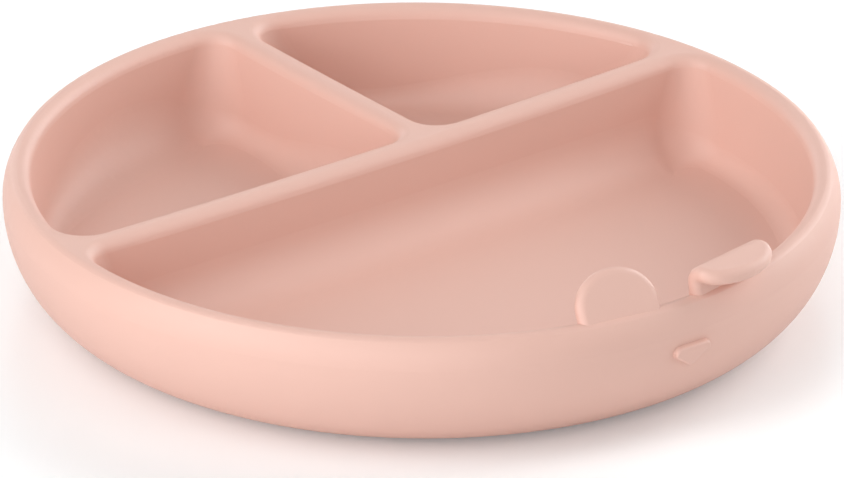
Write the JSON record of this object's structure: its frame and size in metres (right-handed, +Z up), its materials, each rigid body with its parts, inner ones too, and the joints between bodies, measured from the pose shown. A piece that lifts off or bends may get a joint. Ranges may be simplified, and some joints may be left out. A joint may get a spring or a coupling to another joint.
{
  "type": "baby plate",
  "caption": "Round silicone baby plate with a thick wall, divided into compartments for food, with bear ears and a nose raised on its front.",
  "frame": {"origin": "centre of the foot, on the table, on the axis of the round wall", "axes": "+Z up, -Y to the front where the ears and the nose are, +X to the right along the long divider"},
  "size_m": [0.2, 0.2027, 0.0423],
  "materials": {
    "silicone": "satin"
  },
  "bodies": {
    "root": {"plate": "silicone"}
  },
  "joints": []
}
